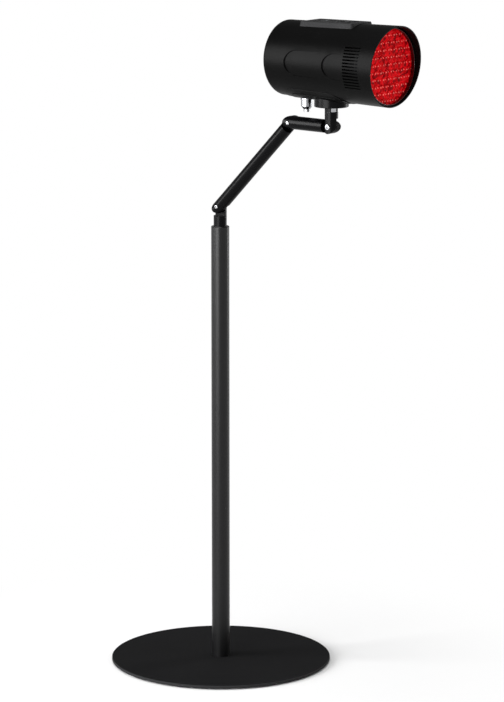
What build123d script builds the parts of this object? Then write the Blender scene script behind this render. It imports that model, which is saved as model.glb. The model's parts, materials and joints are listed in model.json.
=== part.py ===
from build123d import *
import math
import os

# Floor-standing infrared therapy lamp: a round plate and pole carry a two-link swing arm, a tilting
# post and a panning head with a light-emitting-diode array. Millimetres, +Z up. The origin is on the
# floor under the pole's axis, and the head looks along +X.

# ---- fits ----
running_fit = 0.05          # radial clearance of a shaft that turns in its hole
seat_fit = 0.10             # radial clearance of a piece that is only held in its hole
running_gap = 0.30          # free gap between faces that move past each other
screw_fit = 0.02            # radial clearance between a thread and its tapped hole

# ---- base and pole ----
base_diameter = 305.0
base_thickness = 4.0
base_edge_chamfer = 0.7
pad_diameter = 292.0
pad_thickness = 1.5
pole_diameter = 25.0
pole_wall = 1.5
pole_tube_length = 601.0
foot_plug_length = 34.0
foot_thread_depth = 26.0
foot_screw_diameter = 8.0
foot_screw_head_diameter = 15.0
foot_screw_length = 22.0
foot_socket_depth = 2.4
foot_socket_flats = 5.0

# ---- swivel on top of the pole ----
bush_collar_height = 7.5
bush_collar_chamfer = 0.6
bush_spigot_length = 26.0
swivel_shank_diameter = 12.0
swivel_washer_thickness = 0.8
swivel_pin_height = 27.5    # pole top to the shoulder pin
stub_shoulder = 12.8        # shoulder pin down to the flat of the stub
retainer_diameter = 19.0
retainer_thickness = 2.0
swivel_screw_diameter = 6.0
swivel_screw_depth = 14.0
swivel_screw_tip_gap = 1.0
swivel_screw_head_diameter = 10.0
swivel_screw_head_height = 5.0
swivel_socket_flats = 5.0
swivel_socket_depth = 3.0

# ---- swing arm ----
arm_diameter = 18.0
arm_wall = 1.5
lower_arm_length = 178.0    # shoulder pin to elbow pin
lower_arm_angle = 45.0      # above the horizontal
upper_link_length = 68.5    # elbow pin to wrist pin, level
lap_gap = 0.70              # between the two halves of a lap joint
lap_washer_thickness = 0.40
lap_washer_diameter = 15.0
lap_shoulder = 11.2         # pin to the flat where the full round starts
knuckle_flange = 2.3
knuckle_spigot_length = 16.0
pin_shank_diameter = 4.0
pin_head_diameter = 5.5
wrist_head_diameter = 7.8
pin_head_height = 1.7
pin_head_proud = 0.35
pin_head_round = 1.0
head_seat_play = 0.3
pin_nut_flats = 7.0
pin_nut_height = 3.2
pin_nut_sink = 3.9
wrist_socket_flats = 2.5
wrist_socket_depth = 1.1

# ---- post and pan joint ----
post_height = 19.9          # wrist pin to the pan plane
window_height = 7.0         # open neck under the mount disc
neck_wall = 1.2
neck_opening = 4.6          # post axis to the front opening of the neck
neck_flare = 2.0
pan_bolt_diameter = 8.0
pan_bolt_head_diameter = 13.0
pan_bolt_head_height = 3.4
pan_thread_depth = 8.0
pan_bolt_tip_gap = 0.5
pan_web = 3.0               # disc material under the bolt's head
pan_nut_flats = 13.0
pan_nut_height = 5.5
pan_washer_thickness = 1.2
mount_disc_diameter = 46.0
mount_disc_chamfer = 0.6
mount_screw_circle = 34.0
mount_screw_diameter = 4.0
mount_screw_length = 12.0
mount_screw_head_diameter = 7.0
mount_screw_head_height = 2.6
mount_screw_count = 3
mount_screw_floor = 1.5     # disc left under the screw holes
mount_pad_rise = 4.0        # flat pad inside the shell, above its lowest line

# ---- head shell ----
axis_height = 60.3          # mount disc's underside to the head's axis
rear_reach = 78.7           # post axis back to the head's rear face
front_reach = 106.7         # post axis forward to the front rim, on the axis
rear_radius = 50.2
front_radius = 53.9
front_slant = 5.8           # the rim leans forward at the top, degrees
shell_wall = 3.0
rim_wall = 1.7              # in front of the lens seat
rear_cap_length = 9.0
rear_cap_round = 6.0
rear_cap_wall = 2.6
cap_lip_length = 5.0
cap_lip_wall = 1.8
intake_inner_radius = 16.0
intake_outer_radius = 31.0
intake_slot_width = 2.4
intake_slot_count = 20
cap_screw_circle = 76.0
cap_screw_count = 3
cap_screw_sink = 1.2
boss_diameter = 8.0
boss_length = 11.0

# ---- side vents and finger scallops ----
vent_count = 14
vent_pitch_angle = 4.55
vent_start = 138.0          # from the head's rear face
vent_length = 26.0
vent_width = 2.0
vent_overcut = 0.6
scallop_radius = 19.0
scallop_depth = 1.9
scallop_draft = 40.0        # of the crescent step's wall
scallop_knee = 14.0         # the floor rises fast up to here, slowly after
scallop_knee_depth = 0.8
scallop_starts = (37.9, 102.6)
scallop_lengths = (59.0, 33.5)

# ---- belly plate, cable gland ----
belly_start = 18.0          # from the head's rear face
belly_length = 103.0
belly_half_width = 36.5
belly_corner = 22.0
belly_step = 8.5            # margin of the raised middle
belly_layer = 0.8           # thickness of each of the two steps
gland_offset = 36.6         # from the head's rear face
gland_thread_diameter = 12.0
gland_bore_diameter = 6.5
gland_flange_diameter = 17.0
gland_flange_height = 3.6
gland_nut_diameter = 15.6
gland_nut_height = 8.4
gland_nut_taper = 4.2
gland_tail_diameter = 8.6
gland_tail_length = 3.4
gland_inner_reach = 9.0
gland_locknut_flats = 17.0
gland_locknut_height = 4.0
gland_stem_gap = 1.0

# ---- lens, diodes and cooling ----
lens_setback = 12.5         # rim to the lens front, on the axis
lens_thickness = 2.6
lens_cell_pitch = 11.0
lens_cell_height = 1.4
lens_cell_across = 10.1      # flats at a cell's foot
lens_cell_draft = 38.0
lens_cell_margin = 6.2
lens_ring_width = 1.0
lens_ring_length = 2.0
lens_spacer_wall = 2.0
lens_spacer_length = 6.0
led_board_thickness = 1.6
led_size = 5.0
led_body_height = 0.9
led_dome_height = 0.9
led_dome_radius = 1.9
led_dome_tip_radius = 1.05
sink_base_thickness = 5.0
sink_fin_length = 21.0
sink_fin_thickness = 1.6
sink_fin_pitch = 6.4
sink_fin_radius = 46.5
sink_ledge_width = 3.6
sink_ledge_thickness = 2.0
sink_post_diameter = 7.0
fan_size = 60.0
fan_depth = 15.0
fan_corner = 4.0
fan_bore_diameter = 57.0
fan_hole_spacing = 50.0
fan_hub_diameter = 24.0
fan_blade_count = 7
fan_blade_thickness = 1.1
fan_blade_angle = 36.0
fan_tip_gap = 0.8
fan_spoke_width = 3.0
fan_spoke_depth = 2.4
fan_shaft_diameter = 3.0
fan_front_gap = 1.5
fan_joint = 1.0             # how far joined parts of the fan reach into each other

# ---- driver electronics ----
driver_start = 22.0         # from the head's rear face
driver_length = 84.0
driver_width = 64.0
driver_thickness = 1.6
driver_drop = 17.0          # board's top below the head's axis
driver_hole_margin = 5.0
board_post_diameter = 7.0
transformer_length = 24.0
transformer_width = 20.0
transformer_height = 18.0
transformer_place = 52.0    # from the board's rear edge
coil_diameter = 19.8
coil_height = 9.9
coil_overhang = 3.0
capacitor_diameter = 12.5
capacitor_height = 20.0
capacitor_spacing = 18.0
capacitor_place = 20.0      # from the board's rear edge
terminal_depth = 9.0
terminal_width = 16.0
terminal_height = 10.0
terminal_pitch = 5.0
terminal_margin = 1.5
terminal_hole_diameter = 3.0
terminal_hole_depth = 2.0

# ---- control box on the crown ----
box_start = 42.3            # from the head's rear face
box_length = 86.9
box_half_width = 21.0
box_rise = 1.3              # above the crown line
box_skirt = 8.0             # how far the sides reach down past the crown line
box_draft = 17.5            # slope of the sides
box_corner = 2.5
box_spigot_diameter = 5.0   # locates the console in the shell and holds its screw
box_spigot_depth = 1.2
box_screw_length = 3.8
box_screw_roof = 0.5
box_top_wall = 2.0
box_edge = 0.5
crown_opening_margin = 6.0
button_travel = 0.8
button_proud = 0.9
button_skirt_height = 1.2
button_skirt_margin = 1.2
button_fit = 0.10
button_edge = 0.4
button_dish = 0.3
button_dish_ratio = 1.25    # dish radius for each millimetre of the button's diameter
power_button_diameter = 11.0
small_button_diameter = 7.5
power_button_place = (8.0, 0.0)
timer_button_place = (25.5, -7.2)
mode_button_place = (25.5, 7.2)
window_length = 26.0
window_width = 22.0
window_middle = -18.0
window_thickness = 1.0
window_lip = 1.5
control_board_thickness = 1.6
control_board_drop = 9.6    # board's top below the crown line
switch_size = 6.0
switch_height = 4.0
switch_plunger_diameter = 3.5
switch_gap = 0.15
pillar_diameter = 6.0
display_inset = 2.5
control_board_play = 0.5    # around the board and its pillars

# ---- small screws, nuts ----
small_screw_diameter = 3.0
small_screw_length = 7.0
small_screw_head_diameter = 5.6
small_screw_head_height = 1.9
small_screw_recess = 0.9
small_screw_recess_flats = 2.0
long_screw_length = 22.0
small_screw_head_round = 0.85
nut_corner_radius = 1.13     # of a nut's corner rounding, for each millimetre of half its flats
nut_corner_chamfer = 0.04   # for each millimetre across its flats

# ---- heights and places worked out from the sizes above ----
plate_bottom = pad_thickness
plate_top = plate_bottom + base_thickness
tube_top = plate_top + pole_tube_length
pole_top = tube_top + bush_collar_height
pole_bore = pole_diameter - 2 * pole_wall
shoulder_pin = Vector(0, 0, pole_top + swivel_pin_height)
arm_bore = arm_diameter - 2 * arm_wall
arm_rise = math.radians(lower_arm_angle)
elbow_pin = shoulder_pin + lower_arm_length * Vector(math.cos(arm_rise), 0, math.sin(arm_rise))
wrist_pin = elbow_pin + Vector(upper_link_length, 0, 0)
pan_plane = wrist_pin.Z + post_height
disc_bottom = pan_plane + window_height
head_z = disc_bottom + axis_height
rear_x = wrist_pin.X - rear_reach
front_x = wrist_pin.X + front_reach
seam_x = rear_x + rear_cap_length
taper = (front_radius - rear_radius) / (front_x - rear_x)
taper_angle = math.degrees(math.atan(taper))
shell_radius_at_post = rear_radius + taper * rear_reach
lens_x = front_x - lens_setback
led_x = lens_x - lens_thickness - lens_spacer_length
sink_x = led_x - led_board_thickness
ledge_x = sink_x - sink_base_thickness
fan_x = ledge_x - sink_fin_length
belly_thickness = 2 * belly_layer
mount_pad_top = head_z - shell_radius_at_post + shell_wall + mount_pad_rise
box_middle_x = rear_x + box_start + box_length / 2

HEX_CORNER = math.cos(math.radians(30))     # flats over corners of a hexagon

BOTTOM = (Align.CENTER, Align.CENTER, Align.MIN)
TOP = (Align.CENTER, Align.CENTER, Align.MAX)
UP = (0, 0, 1)
DOWN = (0, 0, -1)
FORWARD = (1, 0, 0)
BACKWARD = (-1, 0, 0)
LEFT = (0, 1, 0)
RIGHT = (0, -1, 0)
SEAM = (0, 0.6, 0.8)        # the cones' seams run where the head has no cuts


# ---- basic shapes ----
def rod(diameter, length, start, axis):
    return Plane(origin=start, z_dir=axis) * Cylinder(diameter / 2, length, align=BOTTOM)


def ring(outer, inner, length, start, axis):
    hollow = Cylinder(outer / 2, length, align=BOTTOM) - Cylinder(inner / 2, length, align=BOTTOM)
    return Plane(origin=start, z_dir=axis) * hollow


def hexagon(flats, length, start, axis):
    outline = RegularPolygon(flats / 2, 6, major_radius=False)
    return Plane(origin=start, z_dir=axis) * extrude(outline, length)


def hex_nut(flats, bore, height, start, axis):
    nut = hexagon(flats, height, start, axis) - rod(bore, height, start, axis)
    rounding = Cylinder(flats / 2 * nut_corner_radius, height, align=BOTTOM)
    rounding = chamfer(rounding.edges().filter_by(GeomType.CIRCLE), flats * nut_corner_chamfer)
    return nut & (Plane(origin=start, z_dir=axis) * rounding)


def shell_radius(x):
    return rear_radius + taper * (x - rear_x)


def head_cone(start, end, inset=0.0):
    """Solid of the head's tapered round between two stations, its surface moved in by inset."""
    near = shell_radius(start) - inset
    far = shell_radius(end) - inset
    solid = Cone(near, far, end - start, align=BOTTOM)
    return Plane(origin=(start, 0, head_z), x_dir=SEAM, z_dir=FORWARD) * solid


def head_disc(radius, start, thickness):
    return rod(2 * radius, thickness, (start, 0, head_z), FORWARD)


def around_head(angle, radius, x):
    """Point at an angle from straight down, towards +Y, about the head's axis."""
    turn = math.radians(angle)
    return Vector(x, radius * math.sin(turn), head_z - radius * math.cos(turn))


def small_screw(seat, axis, length=small_screw_length):
    """Pan-head screw: seat is the point under its head, axis the way its thread points."""
    inward = Vector(*axis)
    head = rod(small_screw_head_diameter, small_screw_head_height, seat, inward * -1)
    outer = Vector(*seat) - inward * small_screw_head_height
    rim = head.edges().filter_by(GeomType.CIRCLE).sort_by_distance(outer)[0]
    head = fillet(rim, small_screw_head_round)
    recess = hexagon(small_screw_recess_flats, small_screw_recess, outer, inward)
    return head + rod(small_screw_diameter, length, seat, inward) - recess


# ---- base and pole ----
def base_plate():
    plate = rod(base_diameter, base_thickness, (0, 0, plate_bottom), UP)
    plate = chamfer(plate.edges().filter_by(GeomType.CIRCLE), base_edge_chamfer)
    sink_depth = (foot_screw_head_diameter - foot_screw_diameter) / 2 + seat_fit
    mouth = foot_screw_head_diameter / 2 + seat_fit
    sink = Pos(0, 0, plate_bottom) * Cone(mouth, mouth - sink_depth, sink_depth, align=BOTTOM)
    return plate - sink - rod(foot_screw_diameter + 2 * seat_fit, base_thickness, (0, 0, plate_bottom), UP)


def base_pad():
    """Foam disc stuck over the underside, which also covers the foot screw."""
    return rod(pad_diameter, pad_thickness, (0, 0, 0), UP)


def foot_plug():
    plug = rod(pole_bore - 2 * seat_fit, foot_plug_length, (0, 0, plate_top), UP)
    return plug - rod(foot_screw_diameter + 2 * screw_fit, foot_thread_depth, (0, 0, plate_top), UP)


def foot_screw():
    head_height = (foot_screw_head_diameter - foot_screw_diameter) / 2
    head = Pos(0, 0, plate_bottom) * Cone(
        foot_screw_head_diameter / 2, foot_screw_diameter / 2, head_height, align=BOTTOM)
    shank = rod(foot_screw_diameter, foot_screw_length, (0, 0, plate_bottom), UP)
    return head + shank - hexagon(foot_socket_flats, foot_socket_depth, (0, 0, plate_bottom), UP)


def pole_tube():
    return ring(pole_diameter, pole_bore, pole_tube_length, (0, 0, plate_top), UP)


def pole_bush():
    collar = rod(pole_diameter, bush_collar_height, (0, 0, tube_top), UP)
    rim = collar.edges().filter_by(GeomType.CIRCLE).sort_by(Axis.Z)[-1]
    collar = chamfer(rim, bush_collar_chamfer)
    spigot = rod(pole_bore - 2 * seat_fit, bush_spigot_length, (0, 0, tube_top), DOWN)
    bore = swivel_shank_diameter + 2 * running_fit
    depth = bush_collar_height + bush_spigot_length
    return collar + spigot - rod(bore, depth, (0, 0, pole_top), DOWN)


def swivel_washer():
    bore = swivel_shank_diameter + 2 * seat_fit
    return ring(arm_diameter, bore, swivel_washer_thickness, (0, 0, pole_top), UP)


# ---- half-lap joints of the swing arm: the pin lies along Y at the origin, the bar runs along +X ----
pin_head_floor = arm_diameter / 2 + pin_head_proud - pin_head_height
pin_nut_floor = arm_diameter / 2 - pin_nut_sink


def lap_lug(side, reach):
    radius = arm_diameter / 2
    bar = rod(arm_diameter, reach + radius, (-radius, 0, 0), FORWARD)
    outline = rod(arm_diameter, arm_diameter, (0, -radius, 0), LEFT)
    outline += Box(reach, arm_diameter, arm_diameter, align=(Align.MIN, Align.CENTER, Align.CENTER))
    kept = Pos(0, side * (lap_gap + radius) / 2, 0) * Box(4 * reach, radius, arm_diameter)
    return bar & outline & kept


def pin_seat(side, head_diameter):
    """Bore with a seat for the pin's head (side -1) or for its nut (side +1)."""
    radius = arm_diameter / 2
    bore = rod(pin_shank_diameter + 2 * running_fit, arm_diameter, (0, -radius, 0), LEFT)
    if side < 0:
        seat = head_diameter + 2 * head_seat_play
        return bore + rod(seat, radius, (0, -pin_head_floor, 0), RIGHT)
    seat = pin_nut_flats / HEX_CORNER + 2 * head_seat_play
    return bore + rod(seat, radius, (0, pin_nut_floor, 0), LEFT)


def knuckle(side, head_diameter=pin_head_diameter):
    """Plug of a tube's end: half-lap lug, round flange and the spigot inside the tube."""
    body = lap_lug(side, lap_shoulder)
    flange = rod(arm_diameter, knuckle_flange, (lap_shoulder, 0, 0), FORWARD)
    end = lap_shoulder + knuckle_flange
    spigot = rod(arm_bore - 2 * seat_fit, knuckle_spigot_length, (end, 0, 0), FORWARD)
    return body + flange + spigot - pin_seat(side, head_diameter)


def pivot_bolt(head_diameter):
    """Lies along Y with its head towards -Y, and turns with the lug that holds its nut."""
    floor = pin_head_floor + running_gap / 2
    head = rod(head_diameter, pin_head_height, (0, -floor, 0), RIGHT)
    rim = head.edges().filter_by(GeomType.CIRCLE).sort_by(Axis.Y)[0]
    head = fillet(rim, pin_head_round)
    reach = floor + pin_nut_floor + pin_nut_height
    return head + rod(pin_shank_diameter, reach, (0, -floor, 0), LEFT)


def wrist_bolt():
    outer = pin_head_floor + running_gap / 2 + pin_head_height
    socket = hexagon(wrist_socket_flats, wrist_socket_depth, (0, -outer, 0), LEFT)
    return pivot_bolt(wrist_head_diameter) - socket


def pivot_nut():
    bore = pin_shank_diameter + 2 * screw_fit
    return hex_nut(pin_nut_flats, bore, pin_nut_height, (0, pin_nut_floor, 0), LEFT)


def pivot_washer():
    """Friction washer against the far lug, a running gap short of the near one."""
    bore = pin_shank_diameter + 2 * seat_fit
    start = (0, lap_gap / 2 - lap_washer_thickness, 0)
    return ring(lap_washer_diameter, bore, lap_washer_thickness, start, LEFT)


def swivel_stub():
    """Shank in the pole's bush, round collar and the far half of the shoulder joint."""
    lug = Rot(0, 90, 0) * (lap_lug(1, stub_shoulder) - pin_seat(1, pin_head_diameter))
    stub = Pos(shoulder_pin) * lug
    collar_bottom = pole_top + swivel_washer_thickness + running_gap
    collar_top = shoulder_pin.Z - stub_shoulder
    stub += rod(arm_diameter, collar_top - collar_bottom, (0, 0, collar_bottom), UP)
    shank_end = tube_top - bush_spigot_length - running_gap
    stub += rod(swivel_shank_diameter, collar_bottom - shank_end, (0, 0, shank_end), UP)
    return stub - rod(swivel_screw_diameter + 2 * screw_fit, swivel_screw_depth, (0, 0, shank_end), UP)


def swivel_retainer():
    top = tube_top - bush_spigot_length - running_gap
    bore = swivel_screw_diameter + 2 * seat_fit
    return ring(retainer_diameter, bore, retainer_thickness, (0, 0, top), DOWN)


def swivel_screw():
    seat = tube_top - bush_spigot_length - running_gap - retainer_thickness
    reach = retainer_thickness + swivel_screw_depth - swivel_screw_tip_gap
    head = rod(swivel_screw_head_diameter, swivel_screw_head_height, (0, 0, seat), DOWN)
    bottom = seat - swivel_screw_head_height
    socket = hexagon(swivel_socket_flats, swivel_socket_depth, (0, 0, bottom), UP)
    return head + rod(swivel_screw_diameter, reach, (0, 0, seat), UP) - socket


def link_tube(length):
    end = lap_shoulder + knuckle_flange
    return ring(arm_diameter, arm_bore, length - 2 * end, (end, 0, 0), FORWARD)


# ---- post, pan joint and mount disc ----
def head_post():
    """Near half of the wrist joint under a round block that carries the pan bolt."""
    lug = lap_lug(-1, lap_shoulder) - pin_seat(-1, wrist_head_diameter)
    block = rod(arm_diameter, post_height - lap_shoulder, (lap_shoulder, 0, 0), FORWARD)
    thread = rod(pan_bolt_diameter + 2 * screw_fit, pan_thread_depth, (post_height, 0, 0), BACKWARD)
    return Pos(wrist_pin) * (Rot(0, -90, 0) * (lug + block - thread))


def pan_bolt():
    seat = Vector(wrist_pin.X, 0, disc_bottom + pan_web + running_gap / 2)
    head = rod(pan_bolt_head_diameter, pan_bolt_head_height, seat, UP)
    reach = seat.Z - pan_plane + pan_thread_depth - pan_bolt_tip_gap
    return head + rod(pan_bolt_diameter, reach, seat, DOWN)


def pan_nut():
    bore = pan_bolt_diameter + 2 * screw_fit
    return hex_nut(pan_nut_flats, bore, pan_nut_height, (wrist_pin.X, 0, pan_plane), UP)


def pan_washer():
    bore = pan_bolt_diameter + 2 * seat_fit
    start = (wrist_pin.X, 0, pan_plane + pan_nut_height)
    return ring(pan_nut_flats, bore, pan_washer_thickness, start, UP)


def mount_disc():
    """Disc whose top is a cradle for the belly, on a half-round neck with an open window."""
    height = axis_height - rear_radius + mount_disc_diameter / 4
    disc = rod(mount_disc_diameter, height, (wrist_pin.X, 0, disc_bottom), UP)
    rim = disc.edges().filter_by(GeomType.CIRCLE).sort_by(Axis.Z)[0]
    disc = chamfer(rim, mount_disc_chamfer)
    disc -= head_cone(rear_x, front_x, -belly_thickness)
    neck_bottom = pan_plane + running_gap
    neck_height = disc_bottom - neck_bottom
    neck = rod(arm_diameter, neck_height, (wrist_pin.X, 0, neck_bottom), UP)
    flare = Pos(wrist_pin.X, 0, disc_bottom - neck_flare) * Cone(
        arm_diameter / 2, arm_diameter / 2 + neck_flare, neck_flare, align=BOTTOM)
    room = rod(arm_diameter - 2 * neck_wall, neck_height, (wrist_pin.X, 0, neck_bottom), UP)
    window = Pos(wrist_pin.X + neck_opening, 0, neck_bottom) * Box(
        arm_diameter, 2 * arm_diameter, neck_height, align=(Align.MIN, Align.CENTER, Align.MIN))
    body = disc + (neck + flare - room - window)
    body -= rod(pan_bolt_diameter + 2 * running_fit, height, (wrist_pin.X, 0, disc_bottom), UP)
    pocket = pan_bolt_head_diameter + 2 * running_gap
    body -= rod(pocket, height, (wrist_pin.X, 0, disc_bottom + pan_web), UP)
    for x, y in mount_screw_places():
        hole = mount_screw_diameter + 2 * screw_fit
        body -= rod(hole, height, (x, y, disc_bottom + mount_screw_floor), UP)
    return body


def mount_screw_places():
    places = []
    for index in range(mount_screw_count):
        turn = math.radians(360 * index / mount_screw_count)
        radius = mount_screw_circle / 2
        places.append((wrist_pin.X + radius * math.cos(turn), radius * math.sin(turn)))
    return places


def mount_screws():
    screws = []
    for x, y in mount_screw_places():
        head = rod(mount_screw_head_diameter, mount_screw_head_height, (x, y, mount_pad_top), UP)
        screws.append(head + rod(mount_screw_diameter, mount_screw_length, (x, y, mount_pad_top), DOWN))
    return screws


# ---- head shell ----
def rim_cut(setback=0.0):
    """Everything in front of the slanted rim, or of a plane that far behind it."""
    slant = math.radians(front_slant)
    normal = (math.cos(slant), 0, -math.sin(slant))
    size = 4 * front_radius
    block = Box(size, size, size, align=BOTTOM)
    return Plane(origin=(front_x - setback, 0, head_z), z_dir=normal) * block


def wedge_box(length, width, height, x, angle, radius):
    """Box centred at a radius and an angle from straight down about the head's axis."""
    return Pos(x, 0, head_z) * (Rot(angle, 0, 0) * (Pos(0, 0, -radius) * Box(length, width, height)))


def vent_slots():
    middle = rear_x + vent_start + vent_length / 2
    radius = shell_radius(middle)
    depth = 2 * shell_wall + vent_overcut
    cuts = []
    for side in (90, -90):
        for index in range(vent_count):
            angle = side + vent_pitch_angle * (index - (vent_count - 1) / 2)
            cuts.append(wedge_box(vent_length, vent_width, depth, middle, angle, radius))
    return cuts


def scallop_floor(begin, end):
    """Round solid under a finger recess: lowest at the rear, it rises out of the shell at the front."""
    knee = begin + scallop_knee
    beyond = end + scallop_radius
    profile = Polyline(
        (begin - scallop_radius, shell_radius(begin) - scallop_depth),
        (begin, shell_radius(begin) - scallop_depth),
        (knee, shell_radius(knee) - scallop_knee_depth),
        (end, shell_radius(end)),
        (beyond, shell_radius(beyond) + scallop_depth),
        (beyond, 0),
        (begin - scallop_radius, 0), close=True)
    lathe = Plane(origin=(0, 0, head_z), x_dir=FORWARD, z_dir=(0, -SEAM[2], SEAM[1]))
    return lathe * revolve(make_face(profile), Axis.X)


def scallop_cuts():
    """Finger recesses on both sides: a crescent step at the rear whose floor fades out forwards."""
    spread = math.tan(math.radians(scallop_draft))
    reach = 2 * scallop_depth
    foot = scallop_radius - (scallop_depth + reach) * spread
    cuts = []
    for start, length in zip(scallop_starts, scallop_lengths):
        begin = rear_x + start
        outline = Circle(foot) + Rectangle(
            length - 2 * scallop_radius + foot, 2 * foot, align=(Align.MIN, Align.CENTER))
        level = shell_radius(begin) - scallop_depth - reach
        floor = scallop_floor(begin, begin + length)
        for side in (LEFT, RIGHT):
            place = Plane(
                origin=(begin + scallop_radius, side[1] * level, head_z), x_dir=FORWARD, z_dir=side)
            funnel = place * extrude(outline, 3 * reach, taper=-scallop_draft)
            cuts.append(funnel - floor)
    return cuts


def cap_screw_angles():
    return [360 * index / cap_screw_count for index in range(cap_screw_count)]


boss_start = seam_x + cap_lip_length + running_gap


def cap_bosses():
    """Screw bosses for the rear cap, each joined to the shell by a web."""
    reach = cap_screw_circle / 2
    bosses = []
    for angle in cap_screw_angles():
        centre = around_head(angle, reach, boss_start)
        middle = boss_start + boss_length / 2
        outer = shell_radius(middle) - shell_wall / 2
        web = wedge_box(boss_length, boss_diameter, outer - reach, middle, angle, (outer + reach) / 2)
        bosses.append(rod(boss_diameter, boss_length, centre, FORWARD) + web)
    return bosses


def housing():
    length = front_x - seam_x + 2 * rear_radius * math.tan(math.radians(front_slant))
    end = seam_x + length
    seat = lens_x - lens_thickness
    shell = head_cone(seam_x, end) - head_cone(seam_x, seat, shell_wall)
    shell -= head_cone(seat, end, rim_wall)
    pad = Pos(wrist_pin.X, 0, mount_pad_top) * Box(
        mount_disc_diameter, mount_disc_diameter, 2 * rear_radius,
        align=TOP)
    pads = pad + [rod(board_post_diameter, front_radius, (x, y, board_bottom), DOWN)
                  for x, y in driver_screw_places()]
    shell += pads & head_cone(seam_x, end, shell_wall / 2)
    ledge_back = ledge_x - sink_ledge_thickness
    ledge = head_cone(ledge_back, ledge_x, shell_wall / 2)
    shell += ledge - head_disc(board_radius - sink_ledge_width, ledge_back, sink_ledge_thickness)
    for boss in cap_bosses():
        shell += boss
    shell -= rim_cut()
    cuts = vent_slots() + scallop_cuts()
    for x, y in mount_screw_places():
        cuts.append(rod(mount_screw_diameter + 2 * seat_fit, 2 * rear_radius, (x, y, mount_pad_top), DOWN))
    for angle in cap_screw_angles():
        tapped = around_head(angle, cap_screw_circle / 2, boss_start)
        cuts.append(rod(small_screw_diameter + 2 * screw_fit, boss_length, tapped, FORWARD))
    gland_x = rear_x + gland_offset
    cuts.append(rod(gland_thread_diameter + 2 * seat_fit, 2 * rear_radius, (gland_x, 0, head_z), DOWN))
    gland_pocket = gland_locknut_flats / HEX_CORNER + 2 * running_gap
    cuts.append(rod(gland_pocket, gland_locknut_height, (gland_x, 0, gland_face), UP))
    for x, y in driver_screw_places():
        cuts.append(rod(small_screw_diameter + 2 * screw_fit, small_screw_length, (x, y, board_bottom), DOWN))
    for end_x in box_screw_places():
        hole = small_screw_diameter + 2 * seat_fit
        cuts.append(crown_frame * rod(hole, 4 * shell_wall, (end_x, 0, 0), DOWN))
        pocket = Vector(end_x, 0, box_rise)
        cuts.append(crown_frame * rod(
            box_spigot_diameter + 2 * seat_fit, box_rise + box_spigot_depth + seat_fit, pocket, DOWN))
    cuts.append(crown_frame * crown_hollow(-4 * shell_wall, box_rise))
    return shell - cuts


gland_face = head_z - shell_radius(rear_x + gland_offset) + shell_wall


def rear_cap():
    cap = head_cone(rear_x, seam_x)
    rim = cap.edges().filter_by(GeomType.CIRCLE).sort_by(Axis.X)[0]
    cap = fillet(rim, rear_cap_round)
    hollow = shell_radius(seam_x) - shell_wall - seat_fit - cap_lip_wall
    cap += head_disc(hollow + cap_lip_wall, seam_x, cap_lip_length)
    cap -= head_disc(hollow, rear_x + rear_cap_wall, rear_cap_length + cap_lip_length)
    cuts = []
    for angle in cap_screw_angles():
        centre = around_head(angle, cap_screw_circle / 2, rear_x + rear_cap_wall / 2)
        pillar = boss_start - running_gap - centre.X
        cap += rod(boss_diameter, pillar, centre, FORWARD)
        hole = around_head(angle, cap_screw_circle / 2, rear_x)
        cuts.append(rod(small_screw_diameter + 2 * seat_fit, 4 * rear_cap_length, hole, FORWARD))
        cuts.append(rod(small_screw_head_diameter + 2 * seat_fit, cap_screw_sink, hole, FORWARD))
    slot_length = intake_outer_radius - intake_inner_radius
    slot_middle = (intake_outer_radius + intake_inner_radius) / 2
    for index in range(intake_slot_count):
        angle = 360 * (index + 0.5) / intake_slot_count
        cuts.append(wedge_box(4 * rear_cap_wall, intake_slot_width, slot_length, rear_x, angle, slot_middle))
    return cap - cuts


def cap_screws():
    screws = []
    for angle in cap_screw_angles():
        seat = around_head(angle, cap_screw_circle / 2, rear_x + cap_screw_sink)
        screws.append(small_screw(seat, FORWARD, long_screw_length))
    return screws


def belly_layer_lump(margin, inset):
    """Rounded outline pushed up into the shell, its underside following the shell's round."""
    length = belly_length - 2 * margin
    width = 2 * (belly_half_width - margin)
    middle = rear_x + belly_start + belly_length / 2
    outline = RectangleRounded(length, width, belly_corner - margin)
    prism = Pos(middle, 0, head_z - 2 * rear_radius) * extrude(outline, 2 * rear_radius)
    return prism & head_cone(rear_x, front_x, -inset)


def belly_plate():
    """Curved two-step plate between the shell's belly and the mount disc."""
    plate = belly_layer_lump(0, belly_layer) + belly_layer_lump(belly_step, belly_thickness)
    plate -= head_cone(rear_x, front_x)
    for x, y in mount_screw_places():
        plate -= rod(mount_screw_diameter + 2 * seat_fit, 2 * rear_radius, (x, y, head_z), DOWN)
    gland = (rear_x + gland_offset, 0, head_z)
    return plate - rod(gland_flange_diameter + 2 * seat_fit, 2 * rear_radius, gland, DOWN)


# ---- cable gland ----
def gland_body():
    """Flange under the shell, thread up through it and thread down into the dome nut."""
    x = rear_x + gland_offset
    top = head_z - shell_radius(x)
    flange_bottom = top - gland_flange_height
    flange = rod(gland_flange_diameter, 2 * gland_flange_height, (x, 0, flange_bottom), UP)
    flange -= head_cone(rear_x, front_x)
    stem_bottom = flange_bottom - gland_nut_height + gland_stem_gap
    stem_top = gland_face + gland_inner_reach
    stem = rod(gland_thread_diameter, stem_top - stem_bottom, (x, 0, stem_bottom), UP)
    return flange + stem - rod(gland_bore_diameter, stem_top - stem_bottom, (x, 0, stem_bottom), UP)


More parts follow.
